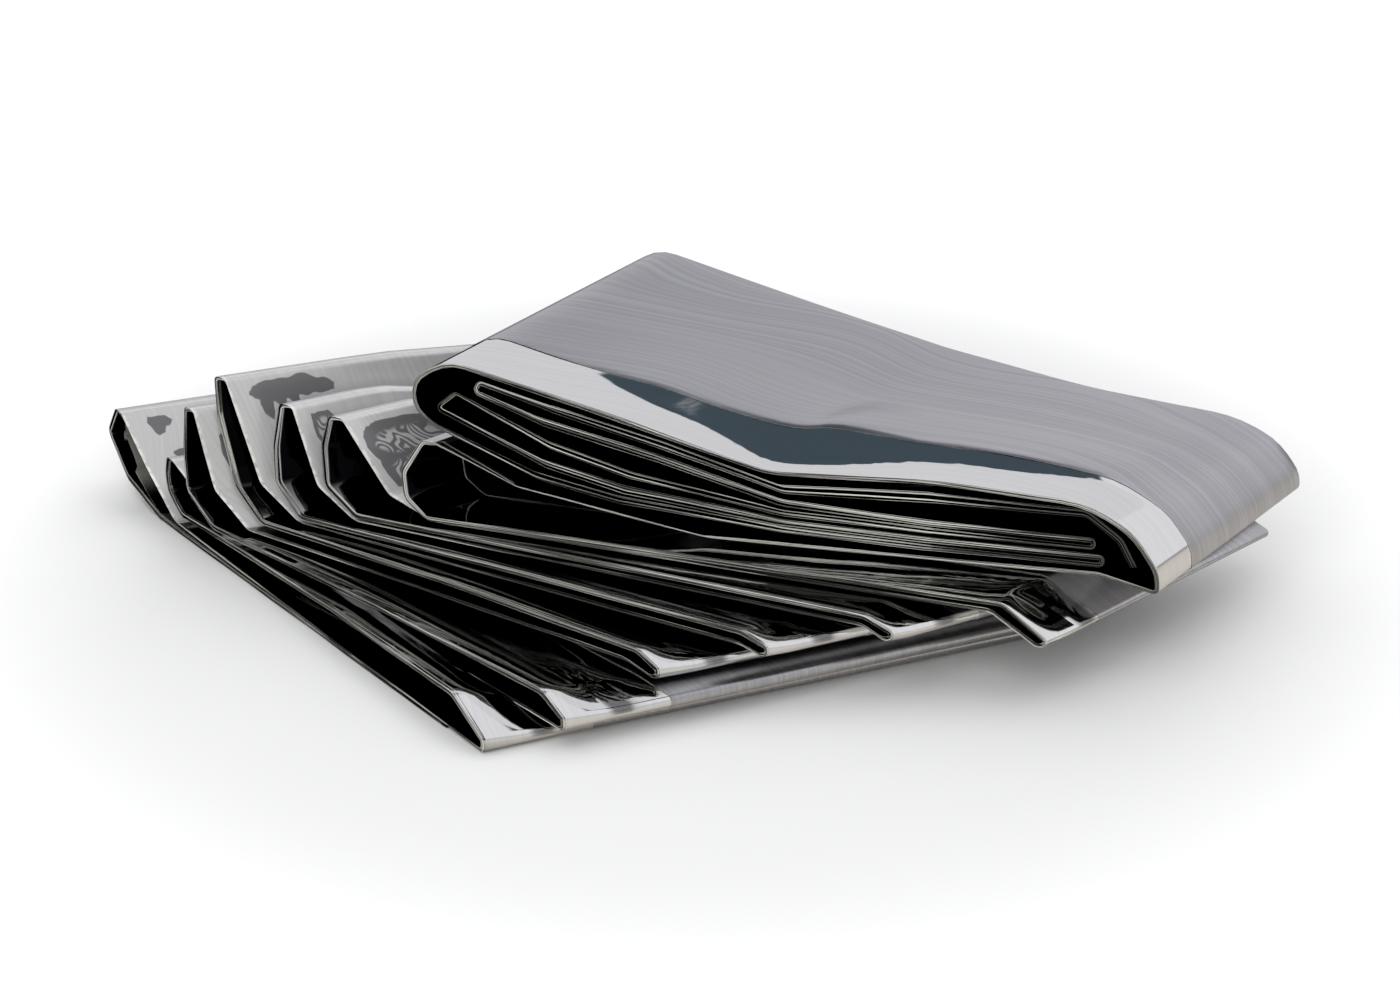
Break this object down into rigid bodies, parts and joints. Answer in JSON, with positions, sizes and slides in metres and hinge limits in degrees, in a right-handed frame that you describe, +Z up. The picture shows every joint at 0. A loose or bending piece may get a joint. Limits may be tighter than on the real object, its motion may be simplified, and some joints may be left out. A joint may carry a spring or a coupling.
{
  "type": "emergency foil blanket",
  "caption": "Emergency foil blanket of metallised film, folded back and forth into a pile of leaves that has sprung half open; it is unfolded and wrapped round a person to keep them warm.",
  "frame": {"origin": "middle of the bounding box in plan, on the level surface under the blanket", "axes": "+X to the right along the longest side, from the standing folds to the top packet's right end; +Y from the front to the back; +Z up"},
  "size_m": [0.2084, 0.1314, 0.0485],
  "materials": {
    "metallised_film": "bright aluminium coat on thin polyester film, faintly brushed along the sheet"
  },
  "bodies": {
    "root": {"foil_blanket": "metallised_film"}
  },
  "joints": []
}
